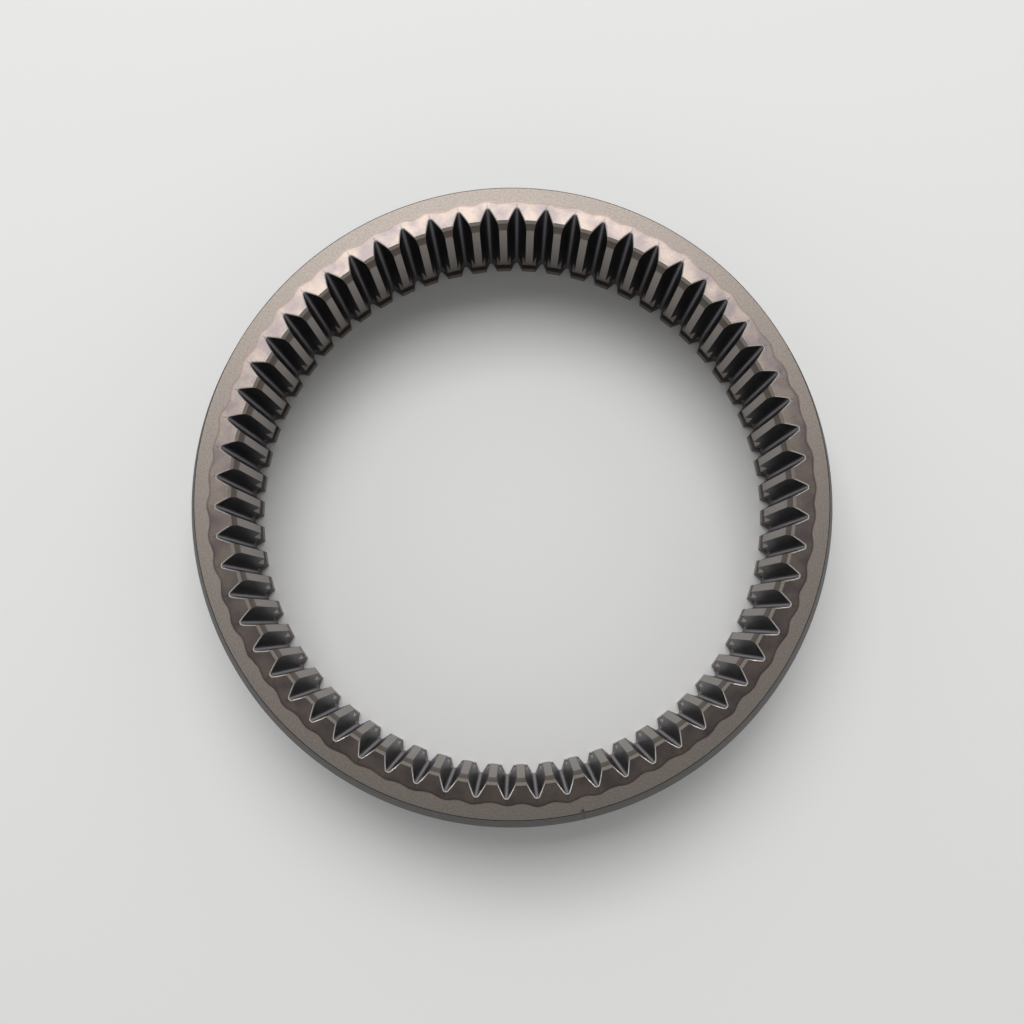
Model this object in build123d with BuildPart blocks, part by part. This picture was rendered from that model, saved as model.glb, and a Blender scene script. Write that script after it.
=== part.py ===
from build123d import *
from math import acos, cos, pi, radians, sin, tan
import os

# Internal ring gear of a planetary gear set, millimetres.
# The frame stands on the gear's axis: +Z along it, Z = 0 on the hub end,
# and the face that leads into the housing on top. One tooth space lies on +X.

# Teeth
teeth = 62
module = 3.0
pressure_angle = 25.0
addendum = 0.5             # pitch circle inwards to the tips, in modules
dedendum = 1.4667          # pitch circle outwards to the roots, in modules
space_widening = 0.7       # backlash, added to the space on the pitch circle
root_fillet = 0.75         # corner of a tooth space, where its root is wide enough

# Ring
rim_thickness = 11.6       # roots of the teeth to the outside
face_width = 61.0

# Long taper that guides the ring into its housing
lead_in_length = 14.2
lead_in_depth = 4.6

# Tips of the teeth at the upper end: an edge bevel, then a steep run-in
tip_bevel = 0.9
run_in_depth = 0.9
run_in_length = 4.4

# Hub seat at the lower end: shortened teeth and a retaining-ring groove
seat_relief = 2.5          # how much shorter the teeth are here
seat_length = 19.0
groove_depth = 2.8
groove_width = 5.2
groove_height = 3.2

# Edge break round the lower end of the outside
outer_edge_break = 1.0

pitch_radius = module * teeth / 2
base_radius = pitch_radius * cos(radians(pressure_angle))
tip_radius = pitch_radius - addendum * module
root_radius = pitch_radius + dedendum * module
outer_radius = root_radius + rim_thickness
run_in_radius = tip_radius + run_in_depth
bevel_radius = run_in_radius + tip_bevel
seat_radius = tip_radius + seat_relief
groove_radius = seat_radius + groove_depth
bore_clearance = 1.5       # how far the tooth-space cut starts inside the tips


def involute(angle):
    """The involute function of an angle in radians."""
    return tan(angle) - angle


def half_angle(radius):
    """Half of the angle that a tooth space spans at a radius, in radians."""
    at_pitch = pi / (2 * teeth) + space_widening / (2 * pitch_radius)
    local = acos(base_radius / radius)
    return at_pitch + involute(radians(pressure_angle)) - involute(local)


def root_corner_radius():
    """The root fillet, or the most that fits: two fillets share the width of the root."""
    lean = acos(base_radius / root_radius)
    widest = root_radius * half_angle(root_radius) * tan(pi / 4 + lean / 2)
    return min(root_fillet, 0.95 * widest)


def flank_point(radius, side):
    """A point of a flank; side is 1 for the upper flank and -1 for the lower."""
    angle = side * half_angle(radius)
    return (radius * cos(angle), radius * sin(angle))


def flank(side):
    """Points of one involute flank from inside the tips out to the root circle."""
    start = tip_radius - bore_clearance
    steps = 6
    reach = (root_radius - start) / steps
    return [flank_point(start + reach * step, side) for step in range(steps + 1)]


# One tooth space: two involute flanks and a rounded root
upper_flank = flank(1)
lower_flank = flank(-1)
with BuildSketch() as space:
    with BuildLine():
        Spline(*upper_flank)
        ThreePointArc(upper_flank[-1], (root_radius, 0), lower_flank[-1])
        Spline(*lower_flank)
        Line(lower_flank[0], upper_flank[0])
    make_face()
    root_corners = space.vertices().sort_by(Axis.X)[-2:]
    fillet(root_corners, radius=root_corner_radius())

with BuildPart() as ring_gear:
    # Turned blank: the half section, revolved about the axis
    with BuildSketch(Plane.XZ):
        with BuildLine():
            Polyline(
                (seat_radius, 0),
                (outer_radius - outer_edge_break, 0),
                (outer_radius, outer_edge_break),
                (outer_radius, face_width - lead_in_length),
                (outer_radius - lead_in_depth, face_width),
                (bevel_radius, face_width),
                (run_in_radius, face_width - tip_bevel),
                (tip_radius, face_width - tip_bevel - run_in_length),
                (tip_radius, seat_length),
                (seat_radius, seat_length),
                close=True,
            )
        make_face()
    revolve(axis=Axis.Z)

    # Groove for the retaining ring, turned into the shortened teeth
    with BuildSketch(Plane.XY.offset(groove_height)):
        Circle(groove_radius)
    extrude(amount=groove_width, mode=Mode.SUBTRACT)

    # Tooth spaces, cut through the whole face width
    with BuildSketch():
        with PolarLocations(0, teeth):
            add(space.sketch)
    extrude(amount=face_width, mode=Mode.SUBTRACT)

ring_gear.part.label = "ring_gear"

os.makedirs("parts", exist_ok=True)
export_step(ring_gear.part, "parts/ring_gear.step")
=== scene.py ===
import logging
import math
from dataclasses import dataclass, field
from enum import Enum

import bpy
import numpy as np
from mathutils import Matrix, Vector


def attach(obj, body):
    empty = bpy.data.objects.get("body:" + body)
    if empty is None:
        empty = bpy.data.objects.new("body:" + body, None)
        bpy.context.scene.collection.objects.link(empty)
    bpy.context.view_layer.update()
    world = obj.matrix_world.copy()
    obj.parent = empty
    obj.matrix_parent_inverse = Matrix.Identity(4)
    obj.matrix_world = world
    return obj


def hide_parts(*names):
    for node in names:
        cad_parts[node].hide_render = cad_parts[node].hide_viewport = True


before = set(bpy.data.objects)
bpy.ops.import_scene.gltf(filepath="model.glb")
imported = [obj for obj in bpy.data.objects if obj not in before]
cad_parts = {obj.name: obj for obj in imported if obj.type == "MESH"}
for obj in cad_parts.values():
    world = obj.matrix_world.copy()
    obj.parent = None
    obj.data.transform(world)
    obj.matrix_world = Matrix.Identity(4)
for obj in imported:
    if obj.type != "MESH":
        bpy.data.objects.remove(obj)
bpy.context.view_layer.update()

MM = 0.001
TO_MM = 1000.0

logging.basicConfig(level=logging.INFO, format="%(message)s")
log = logging.getLogger("ring_gear")

Socket = bpy.types.NodeSocket
Tree = bpy.types.NodeTree
Colour = tuple[float, float, float, float]
Place = dict[str, Socket]
Look = tuple[Socket, Socket | float, Socket]


class Zone(Enum):
    """The ways the ring's surfaces were cut. Each has a finish and a material slot of its own."""

    END_FACE = 0
    OUTSIDE = 1
    TOOTH_SPACE = 2
    TIP = 3
    RUN_IN = 4
    BEVEL = 5
    ARCH_EDGE = 6


def linear(hex_colour: str) -> Colour:
    """Turns an sRGB hex colour into linear light.

    Args:
        hex_colour: six hex digits.

    Returns:
        Red, green and blue in linear light, and an alpha of 1.
    """
    shares = [int(hex_colour[i : i + 2], 16) / 255 for i in (0, 2, 4)]
    light = [s / 12.92 if s <= 0.04045 else ((s + 0.055) / 1.055) ** 2.4 for s in shares]
    return (*light, 1.0)


def add_node(tree: Tree, kind: str, links: dict, out: int | str = 0, **settings) -> Socket:
    """Adds a node with its settings, input values and links.

    Args:
        tree: the node tree that gets it.
        kind: the node's type name after "ShaderNode".
        links: what goes into each input, by name or number: a socket or a plain value.
        out: the output that is wanted, by name or number.
        settings: attributes of the node.

    Returns:
        That output.
    """
    node = tree.nodes.new("ShaderNode" + kind)
    for name, value in settings.items():
        setattr(node, name, value)
    for name, value in links.items():
        if isinstance(value, Socket):
            tree.links.new(value, node.inputs[name])
        else:
            node.inputs[name].default_value = value
    return node.outputs[out]


@dataclass
class ToothSpace:
    """Half of a tooth space, seen along the axis, from the middle of its root in to the tips.

    Sizes are in millimetres and the pressure angle in degrees. Other angles are in radians,
    measured from the middle of the space.
    """

    teeth: int = 62
    module: float = 3.0
    pressure_angle: float = 25.0
    addendum: float = 1.5
    dedendum: float = 4.4
    space_widening: float = 0.7
    root_fillet: float = 0.75
    inner_reach: float = 1.5

    @property
    def pitch_radius(self) -> float:
        """Radius of the pitch circle."""
        return self.module * self.teeth / 2

    @property
    def tip_radius(self) -> float:
        """Radius of the full-height tips."""
        return self.pitch_radius - self.addendum

    @property
    def root_radius(self) -> float:
        """Radius of the roots."""
        return self.pitch_radius + self.dedendum

    @property
    def half_pitch(self) -> float:
        """Angle from the middle of a tooth space to the middle of the next tooth."""
        return math.pi / self.teeth

    def half_angle(self, radius: np.ndarray) -> np.ndarray:
        """Half of the angle that the space spans, by the involute function tan a - a.

        Args:
            radius: where it is wanted.

        Returns:
            The half angle at each radius.
        """
        pressure = math.radians(self.pressure_angle)
        local = np.arccos(self.pitch_radius * math.cos(pressure) / radius)
        at_pitch = self.half_pitch / 2 + self.space_widening / (2 * self.pitch_radius)
        return at_pitch + (math.tan(pressure) - pressure) - (np.tan(local) - local)

    def curve(self, offset: float) -> tuple[np.ndarray, np.ndarray]:
        """The half outline as dense points, moved into the metal.

        The root is an arc about the gear's axis. A fillet leaves it and meets the involute
        flank where a circle inside the space touches both. Each point is then moved along
        the outline's normal.

        Args:
            offset: how far the outline is moved into the metal.

        Returns:
            Radius and angle of each point, from the middle of the root to the tips.
        """
        radius = np.linspace(self.root_radius, self.tip_radius - self.inner_reach, 600)
        angle = self.half_angle(radius)
        flank = np.stack([radius * np.cos(angle), radius * np.sin(angle)], axis=1)
        normal = self.into_metal(flank)
        centres = flank - self.root_fillet * normal
        reach = np.hypot(centres[:, 0], centres[:, 1])
        meet = int(np.argmin(np.abs(reach - (self.root_radius - self.root_fillet))))
        centre = centres[meet]
        start = math.atan2(centre[1], centre[0])
        end = math.atan2(normal[meet, 1], normal[meet, 0])
        turn = np.linspace(start, end, 60)
        fillet = centre + self.root_fillet * np.stack([np.cos(turn), np.sin(turn)], axis=1)
        sweep = np.linspace(0, start, 20, endpoint=False)
        root = self.root_radius * np.stack([np.cos(sweep), np.sin(sweep)], axis=1)
        outline = np.concatenate([root, fillet, flank[meet + 1 :]])
        moved = outline + offset * self.into_metal(outline)
        moved[0, 1] = 0.0
        return np.hypot(moved[:, 0], moved[:, 1]), np.arctan2(moved[:, 1], moved[:, 0])

    @staticmethod
    def into_metal(points: np.ndarray) -> np.ndarray:
        """Unit normals of a run of points, on the side away from the tooth space."""
        along = np.gradient(points, axis=0)
        side = np.stack([along[:, 1], -along[:, 0]], axis=1)
        return side / np.linalg.norm(side, axis=1, keepdims=True)


@dataclass
class Dent:
    """A small nick in the outer corner of the upper face, in millimetres and degrees.

    The corner moves in by the depth and sinks by a share of it. Only points within the
    reach of the corner move.
    """

    angle: float = -79.2
    width: float = 0.8
    depth: float = 0.55
    sink_share: float = 0.7
    reach: float = 0.5


@dataclass
class RingGear:
    """The whole gear as one closed surface, from sizes in millimetres.

    The surface is a grid that closes on itself both ways. Its columns go round the axis.
    Its rows go down the toothed bore, out over the lower end, up the outside and in over
    the upper end.
    """

    space: ToothSpace = field(default_factory=ToothSpace)
    dent: Dent = field(default_factory=Dent)
    outer_radius: float = 109.0
    face_width: float = 61.0
    lead_in_length: float = 14.2
    lead_in_depth: float = 4.6
    tip_bevel: float = 0.9
    run_in_depth: float = 0.9
    run_in_length: float = 4.4
    seat_relief: float = 2.5
    seat_length: float = 19.0
    groove_depth: float = 2.8
    groove_width: float = 5.2
    groove_height: float = 3.2
    outer_edge_break: float = 1.0
    arch_break: float = 0.3
    burr: float = 0.1
    taper_blend: float = 0.6
    root_length: float = 1.3
    root_columns: int = 8
    flank_columns: int = 7
    land_columns: int = 4
    sharp_angle: float = 17.0

    def bore_rows(self) -> np.ndarray:
        """Rows down the bore: height, radius of the bore, and edge break of the tooth space."""
        top = self.face_width
        tip = self.space.tip_radius
        run_in = tip + self.run_in_depth
        bevel = run_in + self.tip_bevel
        seat = tip + self.seat_relief
        groove = seat + self.groove_depth
        groove_top = self.groove_height + self.groove_width
        arch, burr = self.arch_break, self.burr
        return np.array([
            (top, bevel, arch),
            (top - arch, bevel - arch, 0),
            (top - self.tip_bevel, run_in, 0),
            (top - self.tip_bevel - self.run_in_length, tip, 0),
            (self.seat_length + burr, tip, 0),
            (self.seat_length, tip + burr, 0),
            (self.seat_length, seat, 0),
            (groove_top + burr, seat, 0),
            (groove_top, seat + burr, 0),
            (groove_top, groove, 0),
            (self.groove_height, groove, 0),
            (self.groove_height, seat + burr, 0),
            (self.groove_height - burr, seat, 0),
            (burr, seat, 0),
            (0, seat + burr, burr),
        ])

    def outside_rows(self) -> np.ndarray:
        """Rows over the lower end, up the outside and in over the upper end.

        The lower end takes two rows and the upper end the last four. Two rows soften the
        start of the taper and three the outer corner of the upper end.

        Returns:
            For each row its height, its share of the way out from the bore to the given
            radius, and that radius.
        """
        top = self.face_width
        rim = self.outer_radius
        edge = rim - self.outer_edge_break
        face = rim - self.lead_in_depth
        taper_start = top - self.lead_in_length
        slope = self.lead_in_depth / self.lead_in_length
        blend, burr = self.taper_blend, self.burr
        return np.array([
            (0, 0.5, edge),
            (0, 1, edge),
            (self.outer_edge_break, 1, rim),
            (taper_start - blend, 1, rim),
            (taper_start + blend, 1, rim - blend * slope),
            (top - 2 * burr, 1, face + 2 * burr * slope),
            (top - 0.6 * burr, 1, face - 0.4 * burr),
            (top, 1, face - 2 * burr),
            (top, 0.9, face - 2 * burr),
            (top, 0.6, face - 2 * burr),
            (top, 0.3, face - 2 * burr),
        ])

    def tooth_columns(self, radius: float, offset: float) -> tuple[np.ndarray, np.ndarray]:
        """One pitch of the bore's outline at one height.

        From the middle of a tooth space, the columns follow the root and the flank until
        they meet the bore, then the bore's circle to the middle of the tooth. The other
        half mirrors them.

        Args:
            radius: the bore's radius at that height.
            offset: the edge break of the tooth space.

        Returns:
            Radius and angle of each column over one pitch.
        """
        out, angle = self.space.curve(offset)
        steps_r, steps_a = np.diff(out), out[1:] * np.diff(angle)
        length = np.concatenate([[0], np.cumsum(np.hypot(steps_r, steps_a))])
        meet = np.interp(-radius, -out, length)
        bend = min(self.root_length, 0.8 * meet)
        steps = np.concatenate([
            np.linspace(0, bend, self.root_columns, endpoint=False),
            np.linspace(bend, meet, self.flank_columns + 1),
        ])
        curve_r = np.interp(steps, length, out)
        curve_a = np.interp(steps, length, angle)
        curve_r[-1] = radius
        land_a = np.linspace(curve_a[-1], self.space.half_pitch, self.land_columns + 1)[1:]
        half_r = np.concatenate([curve_r, np.full(self.land_columns, radius)])
        half_a = np.concatenate([curve_a, land_a])
        whole_r = np.concatenate([half_r, half_r[-2:0:-1]])
        whole_a = np.concatenate([half_a, 2 * self.space.half_pitch - half_a[-2:0:-1]])
        return whole_r, whole_a

    def grid(self) -> np.ndarray:
        """Radius, angle and height of every point of the surface, by row and column."""
        pitches = np.arange(self.space.teeth)[:, None] * 2 * self.space.half_pitch
        rows = []
        for height, radius, offset in self.bore_rows():
            one_r, one_a = self.tooth_columns(radius, offset)
            all_r = np.tile(one_r, self.space.teeth)
            all_a = (pitches + one_a[None, :]).ravel()
            rows.append(np.stack([all_r, all_a, np.full(all_r.size, height)]))
        upper, lower = rows[0], rows[-1]
        even = np.linspace(0, 2 * math.pi, upper.shape[1], endpoint=False)
        for height, share, radius in self.outside_rows():
            inner = lower if height < self.face_width / 2 else upper
            out_r = inner[0] + (radius - inner[0]) * share
            out_a = inner[1] + (even - inner[1]) * share
            rows.append(np.stack([out_r, out_a, np.full(even.size, height)]))
        return np.stack(rows, axis=1)

    def nicked(self, grid: np.ndarray) -> np.ndarray:
        """The grid with its outer upper corner knocked in at the dent.

        A point near the corner moves in by the dent's depth times a bell curve of its
        distance from the dent along the corner, and sinks by a share of that.
        """
        radius, angle, height = grid
        dent = self.dent
        away = (angle - math.radians(dent.angle) + math.pi) % (2 * math.pi) - math.pi
        along = away * radius / (dent.width / 2)
        corner = self.outer_radius - self.lead_in_depth
        near = np.hypot(radius - corner, height - self.face_width) < dent.reach
        push = dent.depth * np.exp(-(along**2)) * near
        return np.stack([radius - push, angle, height - dent.sink_share * push])

    def build(self) -> bpy.types.Object:
        """Makes the ring's mesh, with each face's material index set by its zone.

        Returns:
            The new object, at the origin.
        """
        radius, angle, height = self.nicked(self.grid())
        points = np.stack([radius * np.cos(angle), radius * np.sin(angle), height], axis=2) * MM
        rows, columns, _ = points.shape
        index = np.arange(rows * columns).reshape(rows, columns)
        below = np.roll(index, -1, axis=0)
        ring = [index, below, np.roll(below, -1, axis=1), np.roll(index, -1, axis=1)]
        mesh = bpy.data.meshes.new("ring_gear_steel")
        mesh.from_pydata(points.reshape(-1, 3), [], np.stack(ring, axis=2).reshape(-1, 4).tolist())
        mesh.polygons.foreach_set("material_index", self.zones(rows, columns).ravel())
        mesh.update()
        mesh.shade_smooth()
        mesh.set_sharp_from_angle(angle=math.radians(self.sharp_angle))
        made = bpy.data.objects.new("ring_gear_steel", mesh)
        bpy.context.scene.collection.objects.link(made)
        return made

    def zones(self, rows: int, columns: int) -> np.ndarray:
        """The zone of each face, by the row it starts on and its place in the pitch."""
        zone = np.full((rows, columns), Zone.OUTSIDE.value)
        bore = len(self.bore_rows())
        half = self.root_columns + self.flank_columns
        per_pitch = 2 * (half + self.land_columns)
        place = np.arange(columns) % per_pitch
        land = (place >= half) & (place < per_pitch - half)
        zone[: bore - 1, ~land] = Zone.TOOTH_SPACE.value
        zone[: bore - 1, land] = Zone.TIP.value
        zone[0, ~land] = Zone.ARCH_EDGE.value
        zone[:2, land] = Zone.BEVEL.value
        zone[2, land] = Zone.RUN_IN.value
        zone[bore - 1 : bore + 1, :] = Zone.END_FACE.value
        zone[rows - 4 :, :] = Zone.END_FACE.value
        return zone


@dataclass(frozen=True)
class SteelFinish:
    """Bare hardened steel, cut in one way. Colours are sRGB hex and lengths millimetres."""

    name: str = "steel"
    colour: str = "7c756e"
    roughness: float = 0.42
    grain: float = 0.7
    grain_depth: float = 0.25
    relief: float = 0.004

    def paint(self, tree: Tree, place: Place) -> Look:
        """Colour, roughness and relief of the finish.

        Args:
            tree: the material's node tree.
            place: where a point is: its place in metres, radius, angle and height.

        Returns:
            The colour, the roughness and the height of the relief.
        """
        speckle = self.speckle(tree, place, self.grain)
        light = add_node(tree, "MapRange", {
            "Value": speckle, "To Min": 1 - self.grain_depth, "To Max": 1 + self.grain_depth,
        })
        return self.tinted(tree, light), self.roughness, speckle

    def tinted(self, tree: Tree, light: Socket) -> Socket:
        """The finish's own colour, made lighter or darker."""
        own = linear(self.colour)[:3]
        return add_node(tree, "VectorMath", {0: own, 1: light}, operation="MULTIPLY")

    def speckle(self, tree: Tree, place: Place, size: float) -> Socket:
        """Fine grain of a size in millimetres, from 0 to 1."""
        return add_node(tree, "TexNoise", {
            "Vector": place["point"], "Scale": TO_MM / size, "Detail": 2.0, "Roughness": 0.6,
        })

    def lines(self, tree: Tree, across: Socket, pitch: float) -> Socket:
        """Uneven tool lines: noise along one coordinate, with a pitch in millimetres."""
        return add_node(tree, "TexNoise", {
            "W": across, "Scale": 1 / pitch, "Detail": 2.0, "Roughness": 0.7,
        }, noise_dimensions="1D")

    def where(self, tree: Tree) -> Place:
        """A point's place, and its radius, angle and height about the gear's axis."""
        point = add_node(tree, "TexCoord", {}, out="Object")
        cut = add_node(tree, "SeparateXYZ", {0: point}).node
        flat = add_node(tree, "CombineXYZ", {0: cut.outputs[0], 1: cut.outputs[1]})
        reach = add_node(tree, "VectorMath", {0: flat}, out="Value", operation="LENGTH")
        radius = add_node(tree, "Math", {0: reach, 1: TO_MM}, operation="MULTIPLY")
        angle = add_node(tree, "Math", {
            0: cut.outputs[1], 1: cut.outputs[0],
        }, operation="ARCTAN2")
        height = add_node(tree, "Math", {0: cut.outputs[2], 1: TO_MM}, operation="MULTIPLY")
        return {"point": point, "radius": radius, "angle": angle, "height": height}

    def material(self) -> bpy.types.Material:
        """Makes the material."""
        made = bpy.data.materials.new(self.name)
        made.use_nodes = True
        tree = made.node_tree
        shader = tree.nodes["Principled BSDF"]
        shader.inputs["Metallic"].default_value = 1.0
        colour, roughness, height = self.paint(tree, self.where(tree))
        for name, value in (("Base Color", colour), ("Roughness", roughness)):
            if isinstance(value, Socket):
                tree.links.new(value, shader.inputs[name])
            else:
                shader.inputs[name].default_value = value
        bump = add_node(tree, "Bump", {
            "Height": height, "Distance": self.relief * MM, "Strength": 1.0,
        })
        tree.links.new(bump, shader.inputs["Normal"])
        return made


@dataclass(frozen=True)
class EndFaceSteel(SteelFinish):
    """A turned end face, induction hardened round the teeth.

    The hardened band is smoother, darker and glossier, with a warm heat tint. Its edge
    bulges a little outward behind each tooth space. Outside it the steel keeps a dull,
    sandy grain.
    """

    name: str = "induction_hardened_end_face"
    colour: str = "756e68"
    hard_colour: str = "6b625c"
    tint_colour: str = "595252"
    edge_colour: str = "483c36"
    roughness: float = 0.45
    hard_roughness: float = 0.26
    grain: float = 0.55
    sandy_strength: float = 0.9
    hard_strength: float = 0.3
    relief: float = 0.02
    turning_pitch: float = 0.35
    band_radius: float = 99.7
    scallop: float = 0.42
    wander: float = 0.9
    wanders_per_metre: float = 95.0
    tints_per_metre: float = 160.0
    teeth: int = 62

    def depth_inside(self, tree: Tree, place: Place) -> Socket:
        """How far inside the hardened band's edge a point lies, in millimetres.

        The edge's radius is the band's, plus a cosine of the angle that peaks behind each
        tooth space, plus slow noise.
        """
        turn = add_node(tree, "Math", {
            0: place["angle"], 1: float(self.teeth),
        }, operation="MULTIPLY")
        wave = add_node(tree, "Math", {0: turn}, operation="COSINE")
        bulge = add_node(tree, "Math", {
            0: wave, 1: self.scallop, 2: self.band_radius,
        }, operation="MULTIPLY_ADD")
        slow = add_node(tree, "TexNoise", {
            "Vector": place["point"], "Scale": self.wanders_per_metre, "Detail": 3.0,
        })
        drift = add_node(tree, "MapRange", {
            "Value": slow, "To Min": -self.wander, "To Max": self.wander,
        })
        edge = add_node(tree, "Math", {0: bulge, 1: drift}, operation="ADD")
        return add_node(tree, "Math", {0: edge, 1: place["radius"]}, operation="SUBTRACT")

    def zone_colour(self, tree: Tree, place: Place, inside: Socket, hard: Socket) -> Socket:
        """The sandy colour outside the band, and the band's, tinted and dark at its edge."""
        rim = add_node(tree, "MapRange", {
            "Value": inside, "From Min": 0.1, "From Max": 1.1, "To Min": 0.6, "To Max": 0.0,
        }, interpolation_type="SMOOTHSTEP")
        patches = add_node(tree, "TexNoise", {
            "Vector": place["point"], "Scale": self.tints_per_metre, "Detail": 4.0,
        })
        patch = add_node(tree, "MapRange", {
            "Value": patches, "From Min": 0.38, "From Max": 0.62,
        })
        heat = add_node(tree, "Mix", {
            0: patch, 6: linear(self.hard_colour), 7: linear(self.tint_colour),
        }, out=2, data_type="RGBA")
        dark = add_node(tree, "Mix", {
            0: rim, 6: heat, 7: linear(self.edge_colour),
        }, out=2, data_type="RGBA")
        return add_node(tree, "Mix", {
            0: hard, 6: linear(self.colour), 7: dark,
        }, out=2, data_type="RGBA")

    def paint(self, tree: Tree, place: Place) -> Look:
        """Colour, roughness and relief of the two zones of the face."""
        inside = self.depth_inside(tree, place)
        hard = add_node(tree, "MapRange", {
            "Value": inside, "From Min": -0.2, "From Max": 0.25,
        }, interpolation_type="SMOOTHSTEP")
        zones = self.zone_colour(tree, place, inside, hard)
        speckle = self.speckle(tree, place, self.grain)
        rings = self.lines(tree, place["radius"], self.turning_pitch)
        strength = add_node(tree, "MapRange", {
            "Value": hard, "To Min": self.sandy_strength, "To Max": self.hard_strength,
        })
        centred = add_node(tree, "Math", {0: speckle, 1: 0.5}, operation="SUBTRACT")
        uneven = add_node(tree, "Math", {
            0: centred, 1: strength, 2: 1.0,
        }, operation="MULTIPLY_ADD")
        ringed = add_node(tree, "MapRange", {"Value": rings, "To Min": 0.93, "To Max": 1.07})
        light = add_node(tree, "Math", {0: uneven, 1: ringed}, operation="MULTIPLY")
        colour = add_node(tree, "VectorMath", {0: zones, 1: light}, operation="MULTIPLY")
        rough = add_node(tree, "MapRange", {
            "Value": hard, "To Min": self.roughness, "To Max": self.hard_roughness,
        })
        height = add_node(tree, "Math", {0: speckle, 1: strength}, operation="MULTIPLY")
        return colour, rough, height


@dataclass(frozen=True)
class OutsideSteel(SteelFinish):
    """The turned outside: dark oiled steel with tool lines running round it, its colour darker
    still as painted shade for the side away from the lamp.
    """

    name: str = "turned_outside"
    # Partly painted shade: darker than the steel's own colour, standing in for the dim side away
    # from the lamp.
    colour: str = "2b2725"
    roughness: float = 0.5
    grain: float = 0.8
    relief: float = 0.01
    turning_pitch: float = 0.4

    def paint(self, tree: Tree, place: Place) -> Look:
        """Colour, roughness and relief, with tool lines one above another."""
        rings = self.lines(tree, place["height"], self.turning_pitch)
        speckle = self.speckle(tree, place, self.grain)
        both = add_node(tree, "Math", {0: rings, 1: speckle}, operation="ADD")
        light = add_node(tree, "MapRange", {
            "Value": both, "From Min": 0.5, "From Max": 1.5, "To Min": 0.7, "To Max": 1.3,
        })
        return self.tinted(tree, light), self.roughness, rings


@dataclass(frozen=True)
class ToothSpaceSteel(SteelFinish):
    """Shaped tooth flanks: dark scale from hardening, rubbed brighter along the root.

    Faint shaping lines run along the teeth. Low down the flanks are lighter, in streaks: a painted
    reflection of the pale floor.
    """

    name: str = "shaped_tooth_space"
    colour: str = "262329"
    # Painted reflection: the lighter colour of the lower flanks, standing in for the pale floor
    # seen in them.
    painted_reflection_colour: str = "5d5654"
    root_colour: str = "7b787e"
    roughness: float = 0.4
    relief: float = 0.006
    root_start: float = 96.75
    root_blend: float = 0.3
    # Painted reflection: fades in from the first height and is full at the second.
    reflection_start_height: float = 30.0
    reflection_full_height: float = 4.0
    lines_per_mm: float = 2.2
    streaks_per_radian: float = 260.0

    def scale_and_reflection_colour(self, tree: Tree, place: Place) -> Socket:
        """The flank's dark scale, lightened in streaks towards the lower end by a painted
        reflection of the pale floor.
        """
        streaks = add_node(tree, "TexNoise", {
            "W": place["angle"], "Scale": self.streaks_per_radian, "Detail": 1.0,
        }, noise_dimensions="1D")
        low = add_node(tree, "MapRange", {
            "Value": place["height"],
            "From Min": self.reflection_start_height, "From Max": self.reflection_full_height,
        }, interpolation_type="SMOOTHSTEP")
        # Painted reflection of the floor, strongest low down, broken into streaks.
        reflection_share = add_node(tree, "Math", {0: low, 1: streaks}, operation="MULTIPLY")
        return add_node(tree, "Mix", {
            0: reflection_share, 6: linear(self.colour), 7: linear(self.painted_reflection_colour),
        }, out=2, data_type="RGBA")

    def paint(self, tree: Tree, place: Place) -> Look:
        """Colour, roughness and relief: scale with its painted reflection on the flanks, brighter
        root.
        """
        root = add_node(tree, "MapRange", {
            "Value": place["radius"],
            "From Min": self.root_start, "From Max": self.root_start + self.root_blend,
        }, interpolation_type="SMOOTHSTEP")
        lines = add_node(tree, "TexNoise", {
            "W": place["radius"], "Scale": self.lines_per_mm, "Detail": 3.0,
        }, noise_dimensions="1D")
        zones = add_node(tree, "Mix", {
            0: root, 6: self.scale_and_reflection_colour(tree, place), 7: linear(self.root_colour),
        }, out=2, data_type="RGBA")
        light = add_node(tree, "MapRange", {"Value": lines, "To Min": 0.6, "To Max": 1.4})
        colour = add_node(tree, "VectorMath", {0: zones, 1: light}, operation="MULTIPLY")
        return colour, self.roughness, lines


@dataclass(frozen=True)
class TipSteel(SteelFinish):
    """Bored tooth tips and hub seat: grey steel with fine boring lines round the bore."""

    name: str = "bored_tips"
    colour: str = "8a827c"
    roughness: float = 0.38
    relief: float = 0.006
    boring_pitch: float = 0.5
    rubs_per_radian: float = 300.0

    def paint(self, tree: Tree, place: Place) -> Look:
        """Colour, roughness and relief, with faint lengthwise rubbing."""
        rings = self.lines(tree, place["height"], self.boring_pitch)
        rubs = add_node(tree, "TexNoise", {
            "W": place["angle"], "Scale": self.rubs_per_radian, "Detail": 2.0,
        }, noise_dimensions="1D")
        both = add_node(tree, "Math", {0: rings, 1: rubs}, operation="ADD")
        light = add_node(tree, "MapRange", {
            "Value": both, "From Min": 0.6, "From Max": 1.4, "To Min": 0.8, "To Max": 1.2,
        })
        return self.tinted(tree, light), self.roughness, rings


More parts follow.
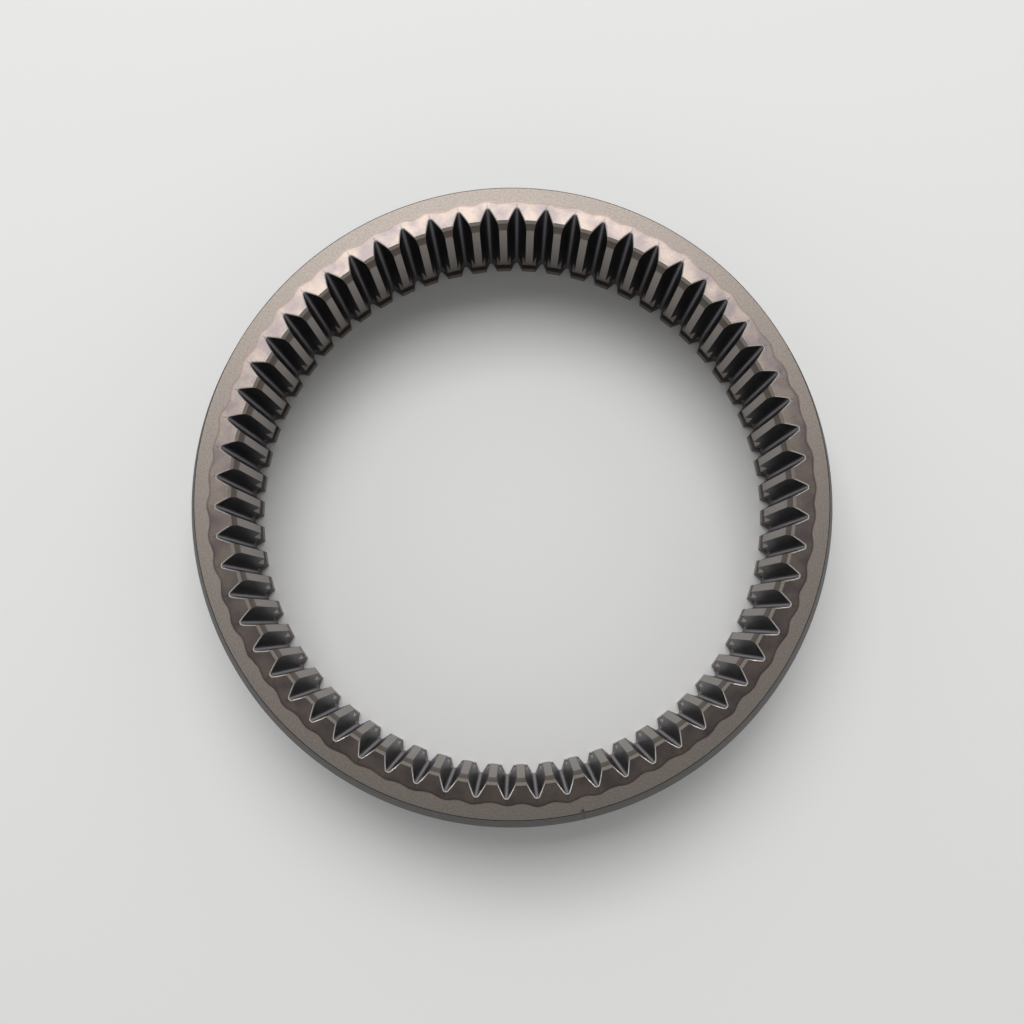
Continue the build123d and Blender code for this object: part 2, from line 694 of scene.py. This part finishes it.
FINISHES: dict[Zone, SteelFinish] = {
    # Two tones on the flat end: a glossy hardened band inside a sandy rim.
    Zone.END_FACE: EndFaceSteel(),
    # Dark edge round the gear, which sets the pale end face off from the floor; part of its
    # darkness is painted shade.
    Zone.OUTSIDE: OutsideSteel(),
    # Nearly black flanks, with the lighter line of the root between them and a painted reflection
    # low down.
    Zone.TOOTH_SPACE: ToothSpaceSteel(),
    # Mid-grey tips between the dark spaces.
    Zone.TIP: TipSteel(),
    # A brown band across each tip, under its bevel.
    Zone.RUN_IN: SteelFinish("heat_browned_run_in", "5c5149", 0.45, 0.6, 0.2),
    # Painted highlight: the pale strip on the bevel where a tip meets the end face.
    Zone.BEVEL: SteelFinish("painted_highlight_tip_bevel", "a8a097", 0.35, 0.5, 0.15),
    # Painted highlight: the thin bright line on the edge break that rims each tooth space.
    Zone.ARCH_EDGE: SteelFinish("painted_highlight_arch_edge", "efe9e2", 0.3, 0.4, 0.1),
}


@dataclass
class Studio:
    """The camera, the floor and the lights.

    The camera's place and lens are in millimetres and its turn in degrees. The floor, the
    lamp and their places are in metres, and the lamp's power is in watts.
    """

    camera_place: tuple[float, float, float] = (0.919, -40.143, 446.45)
    picture_turn: float = -1.876
    focal_length: float = 41.518
    sensor: float = 36.0
    nadir: tuple[float, float] = (2.563, 107.486)
    steps_across: int = 1024
    floor_reach: float = 3.0
    floor_drop: float = 0.0002
    floor_colour: str = "e2e2e1"
    lamp_place: tuple[float, float, float] = (-0.07, 0.6, 1.35)
    lamp_size: tuple[float, float] = (0.95, 0.66)
    lamp_power: float = 14.2
    near_light: float = 0.39
    far_light: float = 0.53
    seen_light: float = 0.85

    def camera(self) -> None:
        """Stands the camera almost straight above the bore and makes it the scene's own.

        The nadir is the point straight below it, in steps right of and below the
        picture's middle, with 1024 steps across the picture. It leans by the angle of
        that point, and the picture is turned a little about the gear's axis.
        """
        depth = self.focal_length / self.sensor * self.steps_across
        below = Vector((self.nadir[0], self.nadir[1], depth))
        lean = Vector((0, 0, 1)).rotation_difference(below).to_matrix()
        flip = Matrix.Diagonal((1.0, -1.0, -1.0))
        turn = Matrix.Rotation(math.radians(self.picture_turn), 3, "Z")
        data = bpy.data.cameras.new("camera")
        data.sensor_width = self.sensor
        data.lens = self.focal_length
        data.clip_start, data.clip_end = 0.01, 10.0
        made = bpy.data.objects.new("camera", data)
        bpy.context.scene.collection.objects.link(made)
        facing = (turn @ (flip @ lean @ flip).transposed()).to_4x4()
        place = turn @ (Vector(self.camera_place) * MM)
        made.matrix_world = Matrix.Translation(place) @ facing
        bpy.context.scene.camera = made

    def floor(self) -> None:
        """Lays the plain pale floor that the gear stands on."""
        mesh = bpy.data.meshes.new("floor")
        far = self.floor_reach
        corners = [(-far, -far, 0), (far, -far, 0), (far, far, 0), (-far, far, 0)]
        mesh.from_pydata(corners, [], [(0, 1, 2, 3)])
        made = bpy.data.objects.new("floor", mesh)
        made.location.z = -self.floor_drop
        bpy.context.scene.collection.objects.link(made)
        material = bpy.data.materials.new("pale_floor")
        material.use_nodes = True
        shader = material.node_tree.nodes["Principled BSDF"]
        shader.inputs["Base Color"].default_value = linear(self.floor_colour)
        shader.inputs["Roughness"].default_value = 0.9
        shader.inputs["Specular IOR Level"].default_value = 0.2
        mesh.materials.append(material)

    def lamp(self) -> None:
        """Hangs the soft rectangular lamp on the far side, pointing at the gear."""
        data = bpy.data.lights.new("window", "AREA")
        data.shape = "RECTANGLE"
        data.size, data.size_y = self.lamp_size
        data.energy = self.lamp_power
        made = bpy.data.objects.new("window", data)
        made.location = Vector(self.lamp_place)
        made.rotation_mode = "QUATERNION"
        made.rotation_quaternion = (-made.location).to_track_quat("-Z", "Y")
        bpy.context.scene.collection.objects.link(made)

    def surroundings(self) -> None:
        """Sets the surroundings: darker on the near side, and pale where they are seen."""
        world = bpy.data.worlds.new("surroundings")
        bpy.context.scene.world = world
        world.use_nodes = True
        tree = world.node_tree
        ground = tree.nodes["Background"]
        direction = add_node(tree, "TexCoord", {}, out="Generated")
        away = add_node(tree, "SeparateXYZ", {0: direction}, out=1)
        room = add_node(tree, "MapRange", {
            "Value": away, "From Min": -0.25, "From Max": 0.35,
            "To Min": self.near_light, "To Max": self.far_light,
        }, interpolation_type="SMOOTHSTEP")
        seen = add_node(tree, "LightPath", {}, out="Is Camera Ray")
        shown = add_node(tree, "Mix", {0: seen, 2: room, 3: self.seen_light}, data_type="FLOAT")
        tree.links.new(shown, ground.inputs["Strength"])
        ground.inputs["Color"].default_value = linear("ffffff")


def main() -> None:
    """Builds the gear and its studio and reports each piece."""
    studio = Studio()
    studio.camera()
    studio.floor()
    studio.surroundings()
    studio.lamp()
    bpy.context.scene.view_settings.view_transform = "Standard"
    piece = RingGear().build()
    for zone in Zone:
        piece.data.materials.append(FINISHES[zone].material())
    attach(piece, "root")
    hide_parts("ring_gear")
    log.info("piece %s: %d faces", piece.name, len(piece.data.polygons))


if __name__ == "__main__":
    main()
